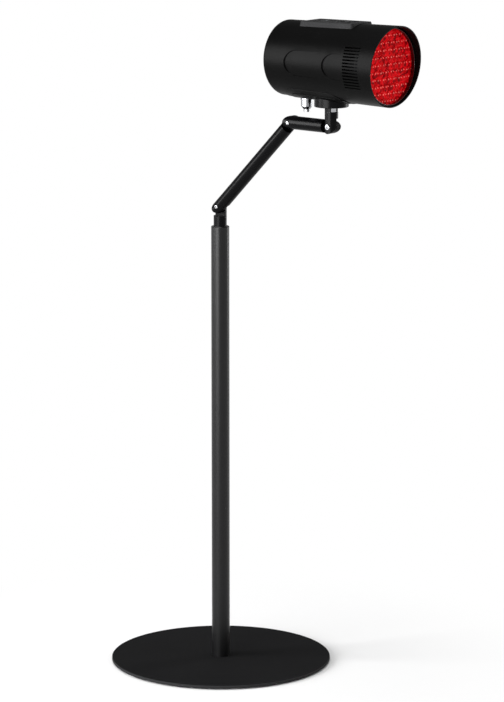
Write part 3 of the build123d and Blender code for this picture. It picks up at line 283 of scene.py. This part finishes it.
def lens_polycarbonate():
    """Red-tinted polycarbonate, moulded in six-sided cells: each cell glows through its cut facets,
    a little darker in its middle, with rows of small painted highlights (catch-lights) near the tops of the
    cells."""
    material, tree, place = begin("lens_polycarbonate")
    centred = add(
        tree, "ShaderNodeMapping", {"Vector": place}, Location=(0, 0, -head_axis_z), Scale=(0, 1, 1))
    half = (1, CELL_PITCH / 2, ROW_PITCH)
    cells = []
    for shift in ((0, 0, 0), (0, CELL_PITCH / 2, ROW_PITCH)):
        moved = add(tree, "ShaderNodeVectorMath", {0: centred.outputs["Vector"], 1: shift}, operation="ADD")
        local = add(
            tree, "ShaderNodeVectorMath", {0: moved.outputs[0], 1: half, 2: [-part for part in half]},
            operation="WRAP")
        cells.append((local, add(tree, "ShaderNodeVectorMath", {0: local.outputs[0]}, operation="LENGTH")))
    (first, first_length), (second, second_length) = cells
    nearer = add(
        tree, "ShaderNodeMath", {0: first_length.outputs["Value"], 1: second_length.outputs["Value"]},
        operation="GREATER_THAN")
    local = add(
        tree, "ShaderNodeMix", {"Factor": nearer.outputs[0], 4: first.outputs[0], 5: second.outputs[0]},
        data_type="VECTOR")
    reach = add(tree, "ShaderNodeVectorMath", {0: local.outputs[1]}, operation="LENGTH")
    depth = add(
        tree, "ShaderNodeMapRange", {"Value": reach.outputs["Value"]},
        From_Min=0.0, From_Max=CELL_PITCH * 0.58, To_Min=0.0, To_Max=0.3)
    facets = add(tree, "ShaderNodeTexVoronoi", {"Vector": place}, Scale=1 / FACET)
    cut = add(
        tree, "ShaderNodeMath", {0: facets.outputs["Color"], 1: depth.outputs["Result"]}, operation="ADD")
    body = add(tree, "ShaderNodeValToRGB", {"Fac": cut.outputs[0]}, stops=[
        (0.25, linear("#6a0106")), (0.5, linear("#900308")), (0.75, linear("#b80a10")),
        (1.0, linear("#cc121a"))])
    # Painted highlights: a small catch-light near the top of each half-cell, broken up by noise.
    step = (1, CELL_PITCH / 4, ROW_PITCH / 2)
    row = add(
        tree, "ShaderNodeVectorMath",
        {0: centred.outputs["Vector"], 1: step, 2: [-part for part in step]}, operation="WRAP")
    spot = add(
        tree, "ShaderNodeVectorMath", {0: row.outputs[0], 1: (0, 0, PAINTED_GLINT_RISE)}, operation="DISTANCE")
    speckle = add(tree, "ShaderNodeTexNoise", {"Vector": place}, Scale=1 / PAINTED_GLINT_RISE, Detail=2.0)
    stir = add(
        tree, "ShaderNodeMapRange", {"Value": speckle.outputs["Fac"]}, To_Min=-0.9 * MM, To_Max=1.1 * MM)
    uneven = add(
        tree, "ShaderNodeMath", {0: spot.outputs["Value"], 1: stir.outputs["Result"]}, operation="ADD")
    painted_glint = add(
        tree, "ShaderNodeMapRange", {"Value": uneven.outputs[0]},
        From_Min=PAINTED_GLINT_CORE, From_Max=PAINTED_GLINT_RIM, To_Min=1.0, To_Max=0.0, interpolation_type="SMOOTHSTEP")
    # The painted highlights are mixed into the red that the lens reflects and emits.
    glow = add(
        tree, "ShaderNodeMix",
        {"Factor": painted_glint.outputs["Result"], 6: body.outputs["Color"], 7: linear("#ff7c74")},
        data_type="RGBA")
    shader = add(
        tree, "ShaderNodeBsdfPrincipled",
        {"Base Color": glow.outputs[2], "Emission Color": glow.outputs[2]},
        Emission_Strength=0.55, Roughness=0.16, IOR=1.58, Specular_IOR_Level=0.02)
    close(tree, shader)
    return material


lens_red = lens_polycarbonate()


def diode_epoxy():
    """Cast epoxy domes lit red from within, a little uneven in tint."""
    material, tree, place = begin("diode_epoxy")
    tint = add(tree, "ShaderNodeTexNoise", {"Vector": place}, Scale=400.0)
    glow = add(tree, "ShaderNodeValToRGB", {"Fac": tint.outputs["Fac"]}, stops=[
        (0.3, linear("#ff5a6e")), (0.7, linear("#ffb0ba"))])
    shader = add(
        tree, "ShaderNodeBsdfPrincipled",
        {"Base Color": glow.outputs["Color"], "Emission Color": glow.outputs["Color"]},
        Emission_Strength=1.0, Roughness=0.1)
    close(tree, shader)
    return material


diode_glow = diode_epoxy()


def tinted_edge():
    """Polished red polycarbonate seen edge on: deep wine red with a hard gloss."""
    material, tree, place = begin("edge_polycarbonate")
    flow = add(tree, "ShaderNodeTexNoise", {"Vector": place}, Scale=1 / (14.0 * MM), Detail=2.0)
    tint = add(tree, "ShaderNodeValToRGB", {"Fac": flow.outputs["Fac"]}, stops=[
        (0.35, linear("#2c0103")), (0.65, linear("#400305"))])
    shader = add(
        tree, "ShaderNodeBsdfPrincipled", {"Base Color": tint.outputs["Color"]},
        Roughness=0.1, IOR=1.58, Specular_IOR_Level=0.4)
    close(tree, shader)
    return material


def lit_segments():
    """Pale grey segments, only just lit behind the smoked window and a little uneven."""
    material, tree, place = begin("display_segments")
    patch = add(tree, "ShaderNodeTexNoise", {"Vector": place}, Scale=1 / (1.5 * MM), Detail=1.0)
    tint = add(tree, "ShaderNodeValToRGB", {"Fac": patch.outputs["Fac"]}, stops=[
        (0.3, linear("#505254")), (0.7, linear("#65676a"))])
    shader = add(
        tree, "ShaderNodeBsdfPrincipled",
        {"Base Color": tint.outputs["Color"], "Emission Color": tint.outputs["Color"]},
        Emission_Strength=0.3, Roughness=0.4, Specular_IOR_Level=0.1)
    close(tree, shader)
    return material


edge_red = tinted_edge()
segment_glow = lit_segments()
# Pad-printed epoxy ink on the keys: flat light grey.
key_ink = moulded_plastic(
    "pad_printed_ink", "#8e8f90", "#9a9b9c",
    grain_mm=0.4, roughness=0.6, bump_mm=0.005, ior=1.5, specular=0.2)

finishes = {
    base_coat: ["base_plate"],
    foam_black: ["base_pad"],
    pole_coat: ["pole_tube", "pole_bush"],
    arm_coat: [
        "swivel_stub", "lower_arm_tube", "lower_arm_bottom_knuckle", "lower_arm_top_knuckle",
        "upper_link_tube", "upper_link_rear_knuckle", "upper_link_front_knuckle", "head_post",
        "mount_disc"],
    shell_coat: ["housing", "rear_cap", "belly_plate"],
    console_plastic: ["control_box"],
    button_silicone: ["power_button", "timer_button", "mode_button"],
    nylon_black: ["swivel_washer", "shoulder_washer", "elbow_washer", "wrist_washer"],
    fan_plastic: ["fan_frame", "fan_rotor", "lens_spacer"],
    component_plastic: ["driver_capacitors", "tactile_switches", "display_module"],
    terminal_plastic: ["driver_terminal"],
    board_lacquer: ["driver_board", "control_board"],
    white_board: ["led_board"],
    ferrite: ["driver_transformer"],
    smoked_acrylic: ["display_window"],
    chrome: ["shoulder_bolt", "elbow_bolt", "wrist_bolt", "pan_bolt", "pan_nut"],
    satin_chrome: ["gland_body", "gland_dome_nut"],
    zinc: [
        "foot_screw", "swivel_screw", "shoulder_nut", "elbow_nut", "wrist_nut", "mount_screws",
        "board_screws", "box_screws", "gland_locknut", "pan_washer"],
    black_oxide: ["long_screws", "lens_ring"],
    turned_steel: ["foot_plug", "swivel_retainer"],
    sink_metal: ["heat_sink"],
    lens_red: ["lens_plate"],
    diode_glow: ["led_array"],
}
for finish, names in finishes.items():
    for name in names:
        mesh = frame["nodes"][name].data
        mesh.materials.clear()
        mesh.materials.append(finish)


# ---- lens skirt, key marks and display figures ----
def add_piece(shape, name, body, finish, smooth=False):
    """Turns a bmesh into a named piece that rides on a body."""
    bmesh.ops.recalc_face_normals(shape, faces=shape.faces)
    mesh = bpy.data.meshes.new(name)
    shape.to_mesh(mesh)
    shape.free()
    mesh.materials.append(finish)
    for face in mesh.polygons:
        face.use_smooth = smooth
    piece = bpy.data.objects.new(name, mesh)
    bpy.context.scene.collection.objects.link(piece)
    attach(piece, body)


def lens_skirt():
    """Polished side wall of the lens cup, inside the spring ring."""
    start = lens_high.x - CELL_HEIGHT + FREE_GAP
    outer = lens_radius - RING_WIDTH - FREE_GAP
    inner = outer - SKIRT_WALL
    shape = bmesh.new()
    corners = [shape.verts.new((x, 0, head_axis_z + radius)) for x, radius in (
        (start, outer), (start + SKIRT_LENGTH, outer), (start + SKIRT_LENGTH, inner), (start, inner))]
    sides = [shape.edges.new(pair) for pair in zip(corners, corners[1:] + corners[:1])]
    bmesh.ops.spin(
        shape, geom=corners + sides, cent=(0, 0, head_axis_z), axis=(1, 0, 0), angle=math.tau, steps=128,
        use_merge=True)
    bmesh.ops.remove_doubles(shape, verts=shape.verts, dist=FREE_GAP / 5)
    rings = [edge for edge in shape.edges if edge.calc_face_angle(0) > math.radians(60)]
    bmesh.ops.bevel(
        shape, geom=rings, offset=SKIRT_EDGE, affect="EDGES", segments=2, profile=0.5, material=-1)
    add_piece(shape, "lens_skirt", "head", edge_red, smooth=True)


def stroke(shape, middle, length, width, turn=0.0):
    """Flat bar in the plane of a key or window; turn 0 lies along the head."""
    size = Matrix.Diagonal((length, width, 1, 1))
    spot = Matrix.Translation((middle[0], middle[1], 0)) @ Matrix.Rotation(turn, 4, "Z") @ size
    bmesh.ops.create_grid(shape, x_segments=6, y_segments=1, size=0.5, matrix=spot)


def open_ring(shape, radius, width, gap):
    """Flat ring with a gap of that half angle towards the front."""
    verts = bmesh.ops.create_circle(shape, segments=48, radius=radius)["verts"]
    rim = {edge for vert in verts for edge in vert.link_edges}
    grown = bmesh.ops.extrude_edge_only(shape, edges=list(rim))["geom"]
    inner = [item for item in grown if isinstance(item, bmesh.types.BMVert)]
    share = (radius - width) / radius
    bmesh.ops.scale(shape, vec=(share, share, 1), verts=inner)
    faces = [item for item in grown if isinstance(item, bmesh.types.BMFace)]
    cut = [face for face in faces if abs(math.atan2(*face.calc_center_median().yx)) < gap]
    bmesh.ops.delete(shape, geom=cut, context="FACES")


def on_crown(shape, low, high, sink):
    """Moves a flat shape from the origin onto the top of the box between two corners."""
    middle = (low + high) / 2
    half = (high.x - low.x) / 2
    top = high.z - half * crown_forward.z - sink
    turn = Matrix((crown_forward, (0, 1, 0), crown_up)).transposed().to_4x4()
    shape.transform(Matrix.Translation((middle.x, middle.y, top)) @ turn)


def key_mark(name, body, draw):
    """A printed sign that follows the dish in a round key."""
    low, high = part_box(body)
    dish = (high.y - low.y - KEY_MARGIN) * DISH_RATIO
    shape = bmesh.new()
    draw(shape)
    for vert in shape.verts:
        vert.co.z = vert.co.xy.length_squared / (2 * dish)
    bmesh.ops.solidify(shape, geom=shape.faces[:], thickness=MARK_THICKNESS)
    on_crown(shape, low, high, DISH_DEPTH - FREE_GAP)
    add_piece(shape, name, body, key_ink)


def power_sign(shape):
    """Broken ring with a bar in its gap."""
    line = 0.45 * MM
    open_ring(shape, radius=2.3 * MM, width=line, gap=math.radians(35))
    stroke(shape, middle=(1.5 * MM, 0), length=2.0 * MM, width=line)


def clock_sign(shape):
    """Ring with two hands."""
    line = 0.3 * MM
    open_ring(shape, radius=1.7 * MM, width=line, gap=0.0)
    stroke(shape, middle=(0.5 * MM, 0), length=1.0 * MM, width=line)
    stroke(shape, middle=(0, -0.4 * MM), length=0.8 * MM, width=line, turn=math.radians(90))


def mode_sign(shape):
    """Three bars that grow shorter."""
    line = 0.35 * MM
    for row in (-1, 0, 1):
        stroke(shape, middle=(row * 0.9 * MM, 0), length=line, width=(2.4 - 0.6 * row) * MM)


def figure(shape, middle, lit):
    """One seven-segment figure; lit names its segments from a, the top, round to g, the middle."""
    up = FIGURE_HEIGHT / 4
    side = FIGURE_WIDTH / 2
    level = {"a": 2 * up, "g": 0, "d": -2 * up}
    upright = {"b": (up, -side), "c": (-up, -side), "e": (-up, side), "f": (up, side)}
    for name in lit:
        if name in level:
            stroke(shape, (level[name], middle), STROKE, FIGURE_WIDTH - 1.5 * STROKE)
        else:
            x, y = upright[name]
            stroke(shape, (x, middle + y), 2 * up - 1.5 * STROKE, STROKE)


def display_figures():
    """Minutes left, 20, on the window."""
    low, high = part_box("display_window")
    shape = bmesh.new()
    figure(shape, FIGURE_SHIFT, "abged")
    figure(shape, -FIGURE_SHIFT, "abcdef")
    bmesh.ops.solidify(shape, geom=shape.faces[:], thickness=MARK_THICKNESS)
    on_crown(shape, low, high, -FREE_GAP)
    add_piece(shape, "display_figures", "head", segment_glow)


lens_skirt()
key_mark("power_sign", "power_button", power_sign)
key_mark("clock_sign", "timer_button", clock_sign)
key_mark("mode_sign", "mode_button", mode_sign)
display_figures()


# ---- setting ----
SWEEP_LINE = ((0, 0), (0.6, 0), (11.0, 0), (11.6, 0.12), (12.0, 0.5), (12.1, 1.2), (12.1, 2.3))
GLOW_FROM = 0.15                # radius where the paper's own white begins, at the base's edge
GLOW_FULL = 0.5
CAMERA_AZIMUTH = math.radians(40.618)
CAMERA_HEADING = math.radians(40.094)
CAMERA_PITCH = math.radians(11.2)
CAMERA_DISTANCE = 4.7579        # level distance from the pole
CAMERA_HEIGHT = 1.38169
SENSOR = 36.0
FOCAL_SHARE = 3519.86 / 504     # focal length over the frame's width


def sweep():
    """White paper sweep: a wide floor that curves up into a low wall all round. Under the lamp it is
    plain paper that takes the shadow; farther out it glows plain white for the camera and for mirrors."""
    mesh = bpy.data.meshes.new("sweep")
    shape = bmesh.new()
    line = [shape.verts.new((x, 0, z)) for x, z in SWEEP_LINE]
    edges = [shape.edges.new(pair) for pair in zip(line, line[1:])]
    bmesh.ops.spin(
        shape, geom=line + edges, cent=(0, 0, 0), axis=(0, 0, 1), angle=math.tau, steps=96, use_merge=True)
    bmesh.ops.remove_doubles(shape, verts=shape.verts, dist=MM)
    shape.to_mesh(mesh)
    shape.free()
    for face in mesh.polygons:
        face.use_smooth = True
    piece = bpy.data.objects.new("sweep", mesh)
    bpy.context.scene.collection.objects.link(piece)
    material, tree, place = begin("sweep_paper")
    reach = add(tree, "ShaderNodeVectorMath", {0: place}, operation="LENGTH")
    fade = add(
        tree, "ShaderNodeMapRange", {"Value": reach.outputs["Value"]},
        From_Min=GLOW_FROM, From_Max=GLOW_FULL, interpolation_type="SMOOTHSTEP")
    rays = add(tree, "ShaderNodeLightPath")
    seen = add(tree, "ShaderNodeMath", {
        0: rays.outputs["Is Camera Ray"], 1: rays.outputs["Is Glossy Ray"]}, operation="MAXIMUM")
    shown = add(tree, "ShaderNodeMath", {
        0: seen.outputs[0], 1: rays.outputs["Is Transmission Ray"]}, operation="MAXIMUM")
    level = add(
        tree, "ShaderNodeMath", {0: fade.outputs["Result"], 1: shown.outputs[0]}, operation="MULTIPLY")
    paper = add(tree, "ShaderNodeBsdfDiffuse", Color=linear("#eeeeee"))
    white = add(tree, "ShaderNodeEmission", Color=(1, 1, 1, 1), Strength=1.0)
    both = add(
        tree, "ShaderNodeMixShader", {"Fac": level.outputs[0], 1: paper.outputs[0], 2: white.outputs[0]})
    close(tree, both)
    mesh.materials.append(material)


def softbox(name, place, target, width, height, power):
    """A soft rectangular light that faces its target and isn't seen itself."""
    light = bpy.data.lights.new(name, "AREA")
    light.shape = "RECTANGLE"
    light.size = width
    light.size_y = height
    light.energy = power
    holder = bpy.data.objects.new(name, light)
    holder.location = place
    holder.rotation_euler = (Vector(target) - Vector(place)).to_track_quat("-Z", "Y").to_euler()
    holder.visible_camera = False
    bpy.context.scene.collection.objects.link(holder)


def camera():
    """A long lens in front of the lamp, to its right and a little above the head."""
    lens = bpy.data.cameras.new("camera")
    lens.sensor_fit = "HORIZONTAL"
    lens.sensor_width = SENSOR
    lens.lens = FOCAL_SHARE * SENSOR
    holder = bpy.data.objects.new("camera", lens)
    holder.location = (
        CAMERA_DISTANCE * math.sin(CAMERA_AZIMUTH), -CAMERA_DISTANCE * math.cos(CAMERA_AZIMUTH),
        CAMERA_HEIGHT)
    forward = Vector((
        -math.sin(CAMERA_HEADING) * math.cos(CAMERA_PITCH),
        math.cos(CAMERA_HEADING) * math.cos(CAMERA_PITCH), -math.sin(CAMERA_PITCH)))
    holder.rotation_euler = forward.to_track_quat("-Z", "Y").to_euler()
    bpy.context.scene.collection.objects.link(holder)
    bpy.context.scene.camera = holder


def world():
    """A plain dim room above the sweep."""
    room = bpy.data.worlds.new("room")
    room.use_nodes = True
    background = room.node_tree.nodes["Background"]
    background.inputs["Color"].default_value = (1, 1, 1, 1)
    background.inputs["Strength"].default_value = 0.18
    bpy.context.scene.world = room


sweep()
camera()
world()
softbox("key", place=(-2.0, -2.4, 1.4), target=(0.2, 0, 0.8), width=1.4, height=2.0, power=125)
softbox("side", place=(0.1, -3.2, 0.55), target=(0.1, 0, 0.4), width=2.3, height=0.9, power=85)
softbox("rim", place=(1.2, 2.8, 1.1), target=(0.1, 0, 0.5), width=0.9, height=2.0, power=42)
softbox("top", place=(0.1, -0.4, 3.2), target=(0.1, 0, 0.3), width=1.8, height=1.8, power=50)
bpy.context.scene.view_settings.view_transform = "Standard"
